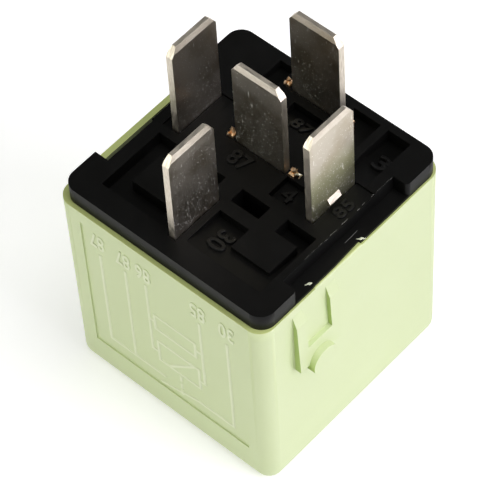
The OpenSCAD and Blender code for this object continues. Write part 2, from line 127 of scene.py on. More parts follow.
# %% [markdown]
# Every material begins with the object's own coordinates, in metres, and ends in one
# Principled shader. A texture's scale says how many features fit in a metre, so a
# feature's real size in millimetres is turned upside down.

# %% Start, finish and scale
def start_material(name):
    mat = bpy.data.materials.new(name)
    mat.use_nodes = True
    tree = mat.node_tree
    tree.nodes.clear()
    where = add(tree, "ShaderNodeTexCoord").outputs["Object"]
    return mat, tree, where

def finish_material(tree, inputs):
    shader = add(tree, "ShaderNodeBsdfPrincipled", inputs)
    add(tree, "ShaderNodeOutputMaterial", {"Surface": shader.outputs["BSDF"]})

def per_metre(size_mm):
    return 1 / (size_mm * MM)

print("a grain of 0.35 mm has scale", round(per_metre(0.35)))

# %% [markdown]
# The cover is nylon 66, injection moulded in a fine-eroded steel mould. It gives the
# eye a soft satin gloss, a faint cloudiness where the melt flowed, and a grain of a
# few tenths of a millimetre, drawn here as bump and as a small change of roughness.
# From a tenth of a millimetre below the rim it is painted a little more olive, a painted shade
# beside the black plate, and the clip's walls that face -Y are painted a deeper green, a painted
# shade too. Both are found by position and by the way the surface faces, so no image has to be
# wrapped round the cover.

# %% Painted shade on the cover
# Both colours are painted shade: the olive rim beside the black plate, and the deeper green of the
# clip's walls that face -Y.
RIM_PAINTED_SHADE, CLIP_PAINTED_SHADE = "#CBD68A", "#B4CC74"

def paint_rim_and_clip_shade(tree, where, skin):
    spot = add(tree, "ShaderNodeSeparateXYZ", {"Vector": where})
    # Painted shade: from a tenth of a millimetre below the rim the colour goes olive, beside the
    # black plate.
    near = add(tree, "ShaderNodeMapRange", {"Value": spot.outputs["Z"],
                                            "From Min": (RIM - 0.10) * MM,
                                            "From Max": (RIM - 0.03) * MM})
    skin = add(tree, "ShaderNodeMix", {0: near.outputs["Result"], 6: skin.outputs[2],
                                       7: linear(RIM_PAINTED_SHADE)}, data_type="RGBA")
    # Painted shade: the clip's walls that face -Y, proud of the side face, are mixed towards a
    # deeper green.
    proud = add(tree, "ShaderNodeMapRange", {"Value": spot.outputs["X"],
                                             "From Min": (SIDE + 0.02) * MM,
                                             "From Max": (SIDE + 0.1) * MM})
    facing = add(tree, "ShaderNodeSeparateXYZ", {"Vector": where.node.outputs["Normal"]})
    sideways = add(tree, "ShaderNodeMapRange", {"Value": facing.outputs["Y"],
                                                "From Min": -0.2, "From Max": -0.7})
    deep = add(tree, "ShaderNodeMath", {0: proud.outputs["Result"],
                                        1: sideways.outputs["Result"]}, operation="MULTIPLY")
    return add(tree, "ShaderNodeMix", {0: deep.outputs[0], 6: skin.outputs[2],
                                       7: linear(CLIP_PAINTED_SHADE)}, data_type="RGBA")

print("rim line", RIM_PAINTED_SHADE, "clip walls", CLIP_PAINTED_SHADE)

# %% [markdown]
# The same maker serves the other plain plastics and enamels, which differ in colour and roughness
# only. The raised lines and numbers of the diagram are paler than the skin, a painted highlight
# for the light their edges catch. Torn burrs are paler too, because stretched or scratched nylon
# turns white.

# %% Moulded nylon, pale green
FLOW_MM, NYLON_GRAIN_MM, NYLON_IOR = 7, 0.35, 1.53

def moulded_nylon(name, colour, shade, rough, case=False):
    mat, tree, where = start_material(name)
    flow = add(tree, "ShaderNodeTexNoise", {"Vector": where, "Scale": per_metre(FLOW_MM),
                                            "Detail": 3.0})
    skin = add(tree, "ShaderNodeMix", {0: flow.outputs["Fac"], 6: linear(shade),
                                       7: linear(colour)}, data_type="RGBA")
    grain = add(tree, "ShaderNodeTexNoise", {"Vector": where, "Scale": per_metre(NYLON_GRAIN_MM),
                                             "Detail": 2.0})
    gloss = add(tree, "ShaderNodeMapRange", {"Value": grain.outputs["Fac"],
                                             "To Min": rough - 0.05, "To Max": rough + 0.07})
    bump = add(tree, "ShaderNodeBump", {"Height": grain.outputs["Fac"], "Strength": 0.10,
                                        "Distance": 0.05 * MM})
    if case:
        skin = paint_rim_and_clip_shade(tree, where, skin)
    finish_material(tree, {"Base Color": skin.outputs[2], "Roughness": gloss.outputs["Result"],
                           "Normal": bump.outputs["Normal"], "IOR": NYLON_IOR})
    return mat

green_nylon = moulded_nylon("moulded_nylon_green", "#DDE9B8", "#D8E4B0", 0.40, case=True)
# Painted highlight: the diagram's lines and numbers are paler than the panel, for the light they
# catch.
painted_highlight_nylon = moulded_nylon("painted_highlight_nylon_green", "#EEF5D2", "#E5EEC4", 0.36)
whitened_nylon = moulded_nylon("whitened_nylon_burr", "#F6F8E6", "#E6EDC6", 0.45)
print("made", green_nylon.name, painted_highlight_nylon.name, whitened_nylon.name)

# %% [markdown]
# The base plate is black polyester, PBT, filled with short glass fibre. The filler leaves a
# slightly mottled satin skin, with patches of about 2 mm and a fine grain. The mould's matt finish
# breaks up reflections, so its gloss is held low. The raised numbers are a shade greyer, a painted
# highlight for the light their edges catch, and a little shinier.

# %% Moulded PBT, black
MOTTLE_MM, PBT_GRAIN_MM, PBT_IOR = 2.2, 0.3, 1.55

def moulded_pbt(name, dark, light, gloss_level):
    mat, tree, where = start_material(name)
    mottle = add(tree, "ShaderNodeTexNoise", {"Vector": where, "Scale": per_metre(MOTTLE_MM),
                                              "Detail": 5.0})
    tint = add(tree, "ShaderNodeMix", {0: mottle.outputs["Fac"], 6: linear(dark),
                                       7: linear(light)}, data_type="RGBA")
    rough = add(tree, "ShaderNodeMapRange", {"Value": mottle.outputs["Fac"],
                                             "To Min": 0.36, "To Max": 0.50})
    grain = add(tree, "ShaderNodeTexNoise", {"Vector": where, "Scale": per_metre(PBT_GRAIN_MM),
                                             "Detail": 2.0})
    bump = add(tree, "ShaderNodeBump", {"Height": grain.outputs["Fac"], "Strength": 0.12,
                                        "Distance": 0.04 * MM})
    finish_material(tree, {"Base Color": tint.outputs[2], "Roughness": rough.outputs["Result"],
                           "Normal": bump.outputs["Normal"], "IOR": PBT_IOR,
                           "Specular IOR Level": gloss_level})
    return mat

black_pbt = moulded_pbt("moulded_pbt_black", "#090908", "#0F0F0E", 0.11)
# Painted highlight: the numbers' greyer black stands in for the light they catch.
painted_highlight_pbt = moulded_pbt("moulded_pbt_numbers_painted_highlight", "#0C0C0B", "#131312", 0.18)
print("made", black_pbt.name, painted_highlight_pbt.name)

# %% [markdown]
# The blades are brass strip, tinned by dipping and then punched. The broad faces stay a
# soft mirror: they show the black plate, the green rim and the pale table. On top lie
# grains of 0.17 mm that scatter light, thickest near the foot, and a few long hair
# scratches that run askew. Both are cut from noise by a steep threshold, which leaves
# sparse small islands.

# %% Grains and hair scratches on tin
TIN_GRAIN_MM, HAIR_MM, HAIR_STRETCH = 0.17, 0.16, 0.10
FOOT_FADES_AT = 7              # height above the plate where the foot's extra grains end

def scattered_marks(tree, where, height):
    foot = add(tree, "ShaderNodeMapRange", {"Value": height, "From Max": TOP * MM,
                                            "From Min": (TOP + FOOT_FADES_AT) * MM,
                                            "To Min": 0.0, "To Max": 0.045})
    grain = add(tree, "ShaderNodeTexNoise", {"Vector": where, "Scale": per_metre(TIN_GRAIN_MM),
                                             "Detail": 1.5})
    more = add(tree, "ShaderNodeMath", {0: grain.outputs["Fac"], 1: foot.outputs["Result"]},
               operation="ADD")
    grain = add(tree, "ShaderNodeMapRange", {"Value": more.outputs[0], "From Min": 0.67,
                                             "From Max": 0.72})
    askew = add(tree, "ShaderNodeMapping", {"Vector": where, "Rotation": (0.9, 0.7, 0.4),
                                            "Scale": (1, 1, HAIR_STRETCH)})
    hair = add(tree, "ShaderNodeTexNoise", {"Vector": askew.outputs["Vector"],
                                            "Scale": per_metre(HAIR_MM), "Detail": 1.0})
    hair = add(tree, "ShaderNodeMapRange", {"Value": hair.outputs["Fac"], "From Min": 0.72,
                                            "From Max": 0.77})
    marks = add(tree, "ShaderNodeMath", {0: grain.outputs["Result"], 1: hair.outputs["Result"]},
                operation="MAXIMUM")
    return marks.outputs[0]

print("hair scratches are", HAIR_MM, "mm wide and", round(HAIR_MM / HAIR_STRETCH, 1), "mm long")

# %% [markdown]
# The tin's colour is worked out in layers. Cloudy patches of 3.5 mm shift the clean tin a little.
# The blade beside the rim gets a painted reflection of the green nylon near it: its lower half is
# painted olive. The grains lie over that, nearly white. The sheared sides and the coined tip have
# a colour of their own, drawn out in lines.

# %% Colours of tin
# Where the painted reflection of the green nylon begins and where it is full.
GREEN_REFLECTION_BEGINS, GREEN_REFLECTION_IS_FULL = 7.5, 4     # heights above the plate

def tin_colour(tree, height, cloud, lines, marks, broad, cast):
    patches = add(tree, "ShaderNodeMapRange", {"Value": cloud, "From Min": 0.38,
                                               "From Max": 0.55})
    clean = add(tree, "ShaderNodeMix", {0: patches.outputs["Result"], 6: linear("#C8BCA6"),
                                        7: linear("#D6CDBD")}, data_type="RGBA")
    # Painted reflection: the lower half of the blade beside the rim is mixed towards olive, for
    # the green nylon it mirrors.
    olive = add(tree, "ShaderNodeMapRange", {"Value": height, "To Max": cast,
                                             "From Min": (TOP + GREEN_REFLECTION_BEGINS) * MM,
                                             "From Max": (TOP + GREEN_REFLECTION_IS_FULL) * MM})
    with_green_reflection = add(tree, "ShaderNodeMix", {0: olive.outputs["Result"], 6: clean.outputs[2],
                                       7: linear("#B9BB88")}, data_type="RGBA")
    face = add(tree, "ShaderNodeMix", {0: marks, 6: with_green_reflection.outputs[2], 7: linear("#FBF8F1")},
               data_type="RGBA")
    sheared = add(tree, "ShaderNodeMix", {0: lines, 6: linear("#F2EADB"), 7: linear("#BDB3A3")},
                  data_type="RGBA")
    return add(tree, "ShaderNodeMix", {0: broad, 6: sheared.outputs[2], 7: face.outputs[2]},
               data_type="RGBA")

print("olive cast from", GREEN_REFLECTION_BEGINS, "down to", GREEN_REFLECTION_IS_FULL, "mm above the plate")

# %% [markdown]
# The object's own normal tells the broad faces from the narrow ones, so a blade that
# faces X and one that faces Y each need their own copy. The narrow sides are rougher,
# with lines of 0.14 mm: a noise of 1 mm squeezed seven times across the strip. The broad
# faces keep a roughness of about 0.3 all over, and only the grains are duller, so they
# stand out evenly.

# %% Hot-dipped tin on punched strip
CLOUD_MM, LINE_MM, SQUEEZE = 3.5, 1.0, 7
GRAIN_ROUGHNESS = 0.62

def dipped_tin(name, broad_axis, cast=0.0):
    mat, tree, where = start_material(name)
    facing = add(tree, "ShaderNodeSeparateXYZ", {"Vector": where.node.outputs["Normal"]})
    facing = add(tree, "ShaderNodeMath", {0: facing.outputs[broad_axis]}, operation="ABSOLUTE")
    broad = add(tree, "ShaderNodeMapRange", {"Value": facing.outputs[0], "From Min": 0.965,
                                             "From Max": 0.992}).outputs["Result"]
    height = add(tree, "ShaderNodeSeparateXYZ", {"Vector": where}).outputs["Z"]
    marks = scattered_marks(tree, where, height)
    cloud = add(tree, "ShaderNodeTexNoise", {"Vector": where, "Scale": per_metre(CLOUD_MM),
                                             "Detail": 3.0}).outputs["Fac"]
    across = (SQUEEZE, 1, 1) if broad_axis == "X" else (1, SQUEEZE, 1)
    drawn = add(tree, "ShaderNodeMapping", {"Vector": where, "Scale": across})
    lines = add(tree, "ShaderNodeTexNoise", {"Vector": drawn.outputs["Vector"], "Detail": 3.0,
                                             "Scale": per_metre(LINE_MM)}).outputs["Fac"]
    mirror = add(tree, "ShaderNodeMapRange", {"Value": cloud, "From Min": 0.3, "From Max": 0.7,
                                              "To Min": 0.29, "To Max": 0.36})
    face = add(tree, "ShaderNodeMix", {"A": mirror.outputs["Result"], "B": GRAIN_ROUGHNESS,
                                       "Factor": marks})
    edge = add(tree, "ShaderNodeMapRange", {"Value": lines, "From Min": 0.38, "From Max": 0.62,
                                            "To Min": 0.32, "To Max": 0.56})
    rough = add(tree, "ShaderNodeMix", {"A": edge.outputs["Result"], "B": face.outputs["Result"],
                                        "Factor": broad})
    relief = add(tree, "ShaderNodeMix", {"A": lines, "B": marks, "Factor": broad})
    bump = add(tree, "ShaderNodeBump", {"Height": relief.outputs["Result"], "Strength": 0.05,
                                        "Distance": 0.02 * MM})
    colour = tin_colour(tree, height, cloud, lines, marks, broad, cast)
    finish_material(tree, {"Base Color": colour.outputs[2], "Metallic": 1.0,
                           "Roughness": rough.outputs["Result"],
                           "Normal": bump.outputs["Normal"]})
    return mat

tinned_x = dipped_tin("hot_dipped_tin_facing_x", "X")
# Painted reflection: this copy is painted olive low down, for the green nylon near it.
tinned_painted_reflection = dipped_tin("hot_dipped_tin_painted_green_reflection", "X", cast=0.75)
tinned_y = dipped_tin("hot_dipped_tin_facing_y", "Y")
print("made", tinned_x.name, tinned_painted_reflection.name, tinned_y.name)

# %% [markdown]
# The other metals are rolled or turned and keep a plain satin surface: copper strip,
# silver contacts, zinc-plated iron and spring steel. One maker covers them, with a
# fine line grain of 0.1 mm along the strip. Where the copper is torn by the staking
# punch, and still wears a thin wash of tin, its grain is coarser and runs every way.

# %% Rolled metals
ROLL_MM = 0.8

def rolled_metal(name, colour, shade, rough, squeeze=(1, 8, 8)):
    mat, tree, where = start_material(name)
    drawn = add(tree, "ShaderNodeMapping", {"Vector": where, "Scale": squeeze})
    lines = add(tree, "ShaderNodeTexNoise", {"Vector": drawn.outputs["Vector"],
                                             "Scale": per_metre(ROLL_MM), "Detail": 4.0})
    tint = add(tree, "ShaderNodeMix", {0: lines.outputs["Fac"], 6: linear(shade),
                                       7: linear(colour)}, data_type="RGBA")
    gloss = add(tree, "ShaderNodeMapRange", {"Value": lines.outputs["Fac"],
                                             "To Min": rough - 0.06, "To Max": rough + 0.08})
    finish_material(tree, {"Base Color": tint.outputs[2], "Metallic": 1.0,
                           "Roughness": gloss.outputs["Result"]})
    return mat

copper = rolled_metal("rolled_copper", "#E39A5C", "#B8672F", 0.30)
silver = rolled_metal("silver_contact_alloy", "#E8E5DF", "#D2CEC6", 0.28)
zinc_iron = rolled_metal("zinc_plated_iron", "#C9C8C2", "#AFAEA8", 0.35)
spring_steel = rolled_metal("rolled_spring_steel", "#BDBDBB", "#9D9D9B", 0.25)
torn_copper = rolled_metal("torn_tin_washed_copper", "#FFF4D6", "#EC9A3E", 0.28,
                           squeeze=(3, 3, 3))
print("made", copper.name, silver.name, zinc_iron.name, spring_steel.name, torn_copper.name)

# %% [markdown]
# The coil is enamelled copper wire, 0.15 mm thick. At this size the turns read as fine
# rings, so a wave texture along Z draws them at 0.3 mm, twice as coarse as they are, with
# a clear enamel coat. The tape over it is amber polyester film.

# %% Coil finishes
RING_MM = 0.3
WAVE_PERIOD = 6.28             # a wave texture of scale 1 repeats after two pi, not after one

def enamelled_wire():
    mat, tree, where = start_material("enamelled_copper_wire")
    turns = add(tree, "ShaderNodeTexWave", {"Vector": where,
                                            "Scale": per_metre(RING_MM) / WAVE_PERIOD,
                                            "Distortion": 0.4}, bands_direction="Z")
    tint = add(tree, "ShaderNodeMix", {0: turns.outputs["Fac"], 6: linear("#6E2C12"),
                                       7: linear("#C46A34")}, data_type="RGBA")
    bump = add(tree, "ShaderNodeBump", {"Height": turns.outputs["Fac"], "Strength": 0.6,
                                        "Distance": 0.06 * MM})
    finish_material(tree, {"Base Color": tint.outputs[2], "Metallic": 0.85, "Roughness": 0.32,
                           "Normal": bump.outputs["Normal"], "Coat Weight": 0.6,
                           "Coat Roughness": 0.12})
    return mat

magnet_wire = enamelled_wire()
amber_film = moulded_nylon("amber_polyester_film", "#D9AE52", "#CFA248", 0.22)
natural_nylon = moulded_nylon("natural_nylon", "#D8CFB8", "#CFC6AD", 0.45)
resistor_enamel = moulded_nylon("fired_resistor_enamel", "#7FA6B5", "#7399A8", 0.25)
print("made", magnet_wire.name, amber_film.name, natural_nylon.name, resistor_enamel.name)

# %% [markdown]
# Each CAD node keeps its shape and gets its finish. A blade takes the tin made for the way it
# faces, and the one beside the rim takes the copy with the painted reflection of the green nylon.

# %% Dress the CAD nodes
finishes = {
    "cover": green_nylon, "base": black_pbt, "bobbin": natural_nylon, "winding": magnet_wire,
    "coil_tape": amber_film, "coil_lead_start": magnet_wire, "coil_lead_end": magnet_wire,
    "resistor_body": resistor_enamel, "resistor_leads": zinc_iron, "rest_stop": spring_steel,
    "bridge_87": torn_copper, "contact_carrier": copper, "carrier_rivet": zinc_iron,
    "fixed_contact": silver, "moving_contact": silver, "contact_leaf": copper,
    "hinge_spring": spring_steel, "armature": zinc_iron, "armature_rivets": zinc_iron,
    "yoke": zinc_iron, "yoke_rivets": zinc_iron, "core": zinc_iron,
    "terminal_85": tinned_painted_reflection, "terminal_86": tinned_x, "terminal_30": tinned_x,
    "terminal_87": tinned_y, "terminal_87_centre": tinned_y,
}
for name, obj in nodes.items():
    obj.data.materials.clear()
    obj.data.materials.append(finishes[name])
print("dressed", len(nodes), "CAD nodes")

# %% [markdown]
# The two big mouldings also get a narrow bevel modifier, because no mould has a perfectly
# sharp corner, and a rounded edge is what catches the light. The nodes come in with split
# faces, so a weld comes first. The blades need none: their sheared edges are crisp.

# %% Round the moulded edges
EDGE_MM = {"cover": 0.16, "base": 0.10}
for name, width in EDGE_MM.items():
    weld = nodes[name].modifiers.new("weld", "WELD")
    weld.merge_threshold = 0.001 * MM
    bevel = nodes[name].modifiers.new("edges", "BEVEL")
    bevel.width = width * MM
    bevel.segments = 2
    bevel.limit_method = "ANGLE"
    bevel.angle_limit = math.radians(35)
    bevel.use_clamp_overlap = True
    bevel.harden_normals = False
print("rounded edges in mm:", EDGE_MM)

# %% [markdown]
# ## The raised wiring diagram
# The side face has a sunk panel with a diagram in relief: terminal numbers, the coil,
# its resistor and the switch. In the mould these are engraved lines, so on the part
# they stand proud of the panel with sloping sides. Each line is a low bar with chamfered
# sides and ends, built corner by corner. All of them go into one mesh, so the diagram is
# one piece.

# %% Bars in relief
def new_piece(name, bm, material):
    mesh = bpy.data.meshes.new(name)
    bm.to_mesh(mesh)
    bm.free()
    mesh.materials.append(material)
    obj = bpy.data.objects.new(name, mesh)
    bpy.context.scene.collection.objects.link(obj)
    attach(obj, BODY)

def bar(bm, a, b, width, foot, height, place):
    """A chamfered bar from a to b, on a flat ground; place turns (u, v, w) into the frame."""
    a, b = Vector(a), Vector(b)
    run = (b - a).normalized()
    side = Vector((-run.y, run.x))
    rings = []
    for half, lift, reach in ((width / 2 + foot, 0, foot), (width / 2, height, 0)):
        start, end = a - run * (width / 2 + reach), b + run * (width / 2 + reach)
        corners = (start + side * half, start - side * half, end - side * half, end + side * half)
        rings.append([bm.verts.new(place(c.x, c.y, lift)) for c in corners])
    low, high = rings
    bm.faces.new(high)
    bm.faces.new(reversed(low))
    for i in range(4):
        j = (i + 1) % 4
        bm.faces.new((low[i], low[j], high[j], high[i]))

SINK = 0.02                    # how deep a bar's foot sits in the panel

def on_panel(u, v, w):
    return Vector((u, panel_floor(v) + SINK - w, v)) * MM

print("a foot on the panel, 14 mm up, is at", [round(c / MM, 2) for c in on_panel(0, 14, 0)])

# %% [markdown]
# The diagram is drawn in millimetres on the panel, X across and Z up. Five leads run down
# from their numbers. The resistor is the upper box, the coil the lower one with a slanting
# stroke, and a dashed link joins the coil to the switch arm. Each bar is a hair higher
# than the one before, so where two cross no two tops lie in one plane and flicker.

# %% The diagram
BAR_WIDTH, BAR_FOOT, BAR_HEIGHT, STEP_UP = 0.26, 0.10, 0.11, 0.0007

def runs(*points):
    return list(zip(points[:-1], points[1:]))

def box(left, low, right, high):
    return runs((left, low), (right, low), (right, high), (left, high), (left, low))

leads = ((-8.2, 20.5, 6.4), (-4.8, 20.8, 6.4), (-2.05, 21.0, 10.4), (5.0, 20.8, 10.4),
         (8.6, 20.6, 6.2))
diagram = [((x, top), (x, foot)) for x, top, foot in leads]
diagram += runs((-8.2, 6.4), (-0.8, 6.4))
diagram += box(-1.3, 14.4, 4.1, 16.7)
diagram += runs((-2.05, 15.6), (-1.3, 15.6)) + runs((4.1, 15.6), (5.0, 15.6))
diagram += box(-1.2, 9.0, 4.3, 12.3)
diagram += runs((0.4, 9.3), (3.6, 12.1))
diagram += runs((-2.05, 10.4), (-1.2, 10.4)) + runs((4.3, 10.4), (5.0, 10.4))
diagram += [((1.6, high), (1.6, low)) for high, low in ((8.5, 7.9), (7.2, 6.6), (5.9, 5.5))]
diagram += runs((8.6, 6.2), (3.8, 6.2), (-1.2, 5.0))
bm = bmesh.new()
for i, (a, b) in enumerate(diagram):
    bar(bm, a, b, BAR_WIDTH, BAR_FOOT, BAR_HEIGHT + STEP_UP * i, on_panel)
new_piece("diagram_lines", bm, painted_highlight_nylon)
print("diagram:", len(diagram), "bars")

# %% [markdown]
# ## Raised numbers
# Terminal numbers are a plain sans serif. Blender's own font gives the outline, and
# extrude and bevel give it a moulded section. The text is turned into a mesh at once,
# so it is an ordinary piece.

# %% Outline of the digits
SECTION = 0.02                 # extrude and bevel, for text of size 1

def digit_mesh(name, digits):
    curve = bpy.data.curves.new(name, "FONT")
    curve.body = digits
    curve.size = 1.0
    curve.align_x, curve.align_y = "CENTER", "CENTER"
    curve.extrude = SECTION
    curve.bevel_depth = SECTION
    curve.offset = 0.004
    curve.resolution_u = 4
    holder = bpy.data.objects.new(name + "_text", curve)
    bpy.context.scene.collection.objects.link(holder)
    shown = holder.evaluated_get(bpy.context.evaluated_depsgraph_get())
    mesh = bpy.data.meshes.new_from_object(shown)
    bpy.data.objects.remove(holder)
    return mesh

print("a digit stands", 2 * SECTION, "out of its middle plane, for text of size 1")

# %% [markdown]
# Each mesh is then stretched to its measured width and height and stood on its ground.
# The numbers on the panel are upside down here, since a relay's diagram is read with the
# blades down and this one stands with its blades up: their right is -X, their up is -Z.

# %% Numbers on the panel
def number(name, digits, size, width, centre, right, up, material, raise_mm):
    mesh = digit_mesh(name, digits)
    xs = [v.co.x for v in mesh.vertices]
    ys = [v.co.y for v in mesh.vertices]
    scale = size / (max(ys) - min(ys))
    squeeze = width / ((max(xs) - min(xs)) * scale)
    mid = Vector(((max(xs) + min(xs)) / 2, (max(ys) + min(ys)) / 2, 0))
    right, up = Vector(right), Vector(up)
    out = right.cross(up)
    for v in mesh.vertices:
        p = v.co - mid
        v.co = (Vector(centre) + right * p.x * scale * squeeze + up * p.y * scale
                + out * (p.z / (2 * SECTION) * raise_mm)) * MM
    mesh.materials.clear()
    mesh.materials.append(material)
    obj = bpy.data.objects.new(name, mesh)
    bpy.context.scene.collection.objects.link(obj)
    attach(obj, BODY)

NUMBERS_AT, DIGITS_HIGH, DIGITS_WIDE, RAISED = 22.75, 2.3, 2.0, 0.09
for label, x in (("87", -8.4), ("87", -4.95), ("86", -2.25), ("85", 4.95), ("30", 8.65)):
    number(f"diagram_number_{label}_{int(x + 20)}", label, DIGITS_HIGH, DIGITS_WIDE,
           (x, panel_floor(NUMBERS_AT), NUMBERS_AT), (-1, 0, 0), (0, 0, -1), painted_highlight_nylon,
           RAISED)
print("five numbers at height", NUMBERS_AT)

# %% [markdown]
# The plate carries the blades' numbers too, some on its top and some down in wells with
# sloping floors. A ray shot down at each spot finds the ground and the way it tilts, so
# every number stands on its own floor.

# %% Numbers on the plate
def plate_number(digits, size, width, x, y, right, raise_mm):
    start = Vector((x, y, TOP + RUN_UP)) * MM
    _, place, normal, _ = nodes["base"].ray_cast(start, Vector((0, 0, -1)))
    right = Vector(right)
    right = (right - normal * right.dot(normal)).normalized()
    number(f"plate_number_{digits}_{int(x + 20)}", digits, size, width, place / MM, right,
           normal.cross(right), painted_highlight_pbt, raise_mm)
    print("number", digits, "stands", round(TOP - place.z / MM, 2), "mm below the top")

plate_number("87", 1.7, 2.4, 0.4, 7.4, (1, 0, 0), 0.25)
plate_number("87", 1.9, 2.5, -1.2, 0.1, (1, 0, 0), 0.22)
plate_number("30", 2.1, 2.7, 3.7, -8.2, (0, -1, 0), 0.25)
plate_number("85", 1.4, 2.3, 10.3, 2.2, (0, 1, 0), 0.16)
plate_number("3", 2.1, 1.6, 9.3, 9.1, (1, 0, 0), 0.35)
plate_number("4", 1.7, 1.4, 4.9, 0.3, (1, 0, 0), 0.25)

# %% [markdown]
# ## Staked lugs
# The copper bridge under the plate has four lugs that come up through it and are torn
# over by a staking punch. Each is a crumpled nugget with sharp facets: a ball of
# triangles whose corners are pushed in and out by a seeded random draw, with a smaller
# torn tail beside it. Flat facets give the glints.

# %% Crumpled copper
def crumple(bm, centre, radii, amount, rng):
    made = bmesh.ops.create_icosphere(bm, subdivisions=1, radius=1.0)
    for v in made["verts"]:
        push = 1 + rng.uniform(-amount, amount)
        v.co = Vector((centre[i] + v.co[i] * radii[i] * push for i in range(3))) * MM

HEAD_RADII, TAIL_RADII, LIFT = (0.32, 0.30, 0.46), (0.20, 0.24, 0.24), 0.10
lug_top = extent("bridge_87")[1].z
lug_spots = ((-3.95, 2.15, (-0.15, -0.50)), (3.95, 2.15, (0.10, 0.25)),
             (-3.95, 10.55, (-0.10, -0.45)), (3.95, 10.55, (0.45, -0.20)))
for i, (x, y, tail) in enumerate(lug_spots):
    rng = random.Random(40 + i)
    bm = bmesh.new()
    crumple(bm, (x, y, lug_top + LIFT), HEAD_RADII, 0.30, rng)
    crumple(bm, (x + tail[0], y + tail[1], lug_top - LIFT), TAIL_RADII, 0.35, rng)
    new_piece(f"staked_lug_{i + 1}", bm, torn_copper)
print("lugs up to", round(lug_top, 2))

# %% [markdown]
# ## Burrs, scuffs and painted edge highlights
# Where the plate was pressed into the cover it tore small curls off the nylon rim. The sharp black
# edges of the side notch get pale dashes, a painted highlight of the edges together with rubbed
# wear. A strand is a thin tube that tapers at both ends and wanders a little. A scuff is the same
# strand, straight and short.

# %% Strands
def strand(bm, points, thick, rng, wander=0.0, sides=5):
    points = [Vector(p) + Vector((rng.uniform(-wander, wander) for _ in range(3))) for p in points]
    rings = []
    for i, p in enumerate(points):
        run = (points[min(i + 1, len(points) - 1)] - points[max(i - 1, 0)]).normalized()
        side = run.cross(Vector((0.3, 0.2, 1))).normalized()
        over = side.cross(run)
        taper = 0.35 + 0.65 * math.sin(math.pi * (i + 0.5) / len(points))
        ring = []
        for t in (math.tau * k / sides for k in range(sides)):
            reach = (side * math.cos(t) + over * math.sin(t)) * thick * taper
            ring.append(bm.verts.new((p + reach) * MM))
        rings.append(ring)
    for low, high in zip(rings[:-1], rings[1:]):
        for k in range(sides):
            m = (k + 1) % sides
            bm.faces.new((low[k], low[m], high[m], high[k]))
    bm.faces.new(reversed(rings[0]))
    bm.faces.new(rings[-1])

def curve_points(a, b, rise, count):
    a, b = Vector(a), Vector(b)
    shares = [i / (count - 1) for i in range(count)]
    return [a.lerp(b, t) + Vector((0, 0, rise * math.sin(math.pi * t))) for t in shares]

print("an arc of five points rises to", round(curve_points((0, 0, 0), (1, 0, 0), 0.1, 5)[2].z, 2))

# %% [markdown]
# Two tufts stand on the rim of the clip side, one near the middle and one by the clip.
# Each is two or three arcs of whitened nylon that lie across one another.

# %% Torn nylon curls
rng = random.Random(7)
bm = bmesh.new()
curls = (((12.55, 0.75, RIM + 0.16), (13.35, 1.9, RIM + 0.08), 0.16, 0.10),
         ((12.95, 1.25, RIM + 0.10), (13.3, 1.75, RIM + 0.22), 0.14, 0.14),
         ((12.5, -6.35, RIM + 0.18), (13.1, -5.15, RIM + 0.12), 0.16, 0.08),
         ((12.75, -6.0, RIM + 0.12), (13.0, -5.5, RIM + 0.30), 0.12, 0.10),
         ((12.85, -5.7, RIM + 0.05), (13.25, -5.0, RIM + 0.10), 0.10, 0.10))
for a, b, rise, thick in curls:
    strand(bm, curve_points(a, b, rise, 7), thick, rng, wander=0.06)
new_piece("rim_burrs", bm, whitened_nylon)
print("curls on the rim:", len(curls))

# %% [markdown]
# The long upper edge of the notch gets pale dashes, a painted highlight of the edge together with
# rubbed wear, close together on two stretches and sparse in the middle. Each dash is a strand a
# few hundredths of a millimetre thick. One longer line lies lower, where the plate meets the
# cover.

# %% Pale black edges, painted highlight and wear
EDGE_X, DASH_Z = 11.5, TOP - 0.01
# Painted highlight together with wear: pale grey dashes along the notch's black edges.
painted_highlight_and_scuff_pbt = moulded_nylon("painted_highlight_and_scuff_pbt_edge", "#8E8D88", "#4A4A47", 0.45)
bm = bmesh.new()
dashes = 0
for y0, y1, chance in ((-4.9, -0.9, 0.8), (5.7, 8.1, 0.7), (-0.9, 5.7, 0.25)):
    y = y0
    while y < y1:
        step = rng.uniform(0.15, 0.5)
        if rng.random() < chance:
            start = (EDGE_X + rng.uniform(-0.03, 0.03), y, DASH_Z)
            end = (start[0] + rng.uniform(-0.04, 0.04), y + step, DASH_Z)
            thick = rng.uniform(0.012, 0.03)
            strand(bm, curve_points(start, end, 0, 3), thick, rng, sides=4)
            dashes += 1
        y += step
low_line = curve_points((12.28, 0.05, RIM + 0.32), (12.22, 2.0, RIM + 0.32), 0, 5)
strand(bm, low_line, 0.03, rng, wander=0.01)
new_piece("edge_highlights_and_scuffs", bm, painted_highlight_and_scuff_pbt)
print("rubbed dashes:", dashes)

# %% [markdown]
# Beside the lug at the centre blade the punch also tore a thin curl of bright metal.

# %% Torn silver curl
bm = bmesh.new()
strand(bm, [(4.05, 2.1, TOP + 0.35), (4.3, 2.05, TOP + 0.45), (4.55, 2.3, TOP + 0.40),
            (4.85, 2.4, TOP + 0.45), (4.8, 2.0, TOP + 0.30)], 0.12, rng, wander=0.03)
new_piece("torn_curl", bm, silver)
print("burrs, scuffs and curl made")

# %% [markdown]
# ## The studio
# The floor is matt white paper. It is lifted to white only where the camera, a
# reflection or a see-through ray meets it, so no lamp has to overexpose it, and the
# relay's own shadow stays on it.

# %% White paper
PAPER_LIFT = 0.42

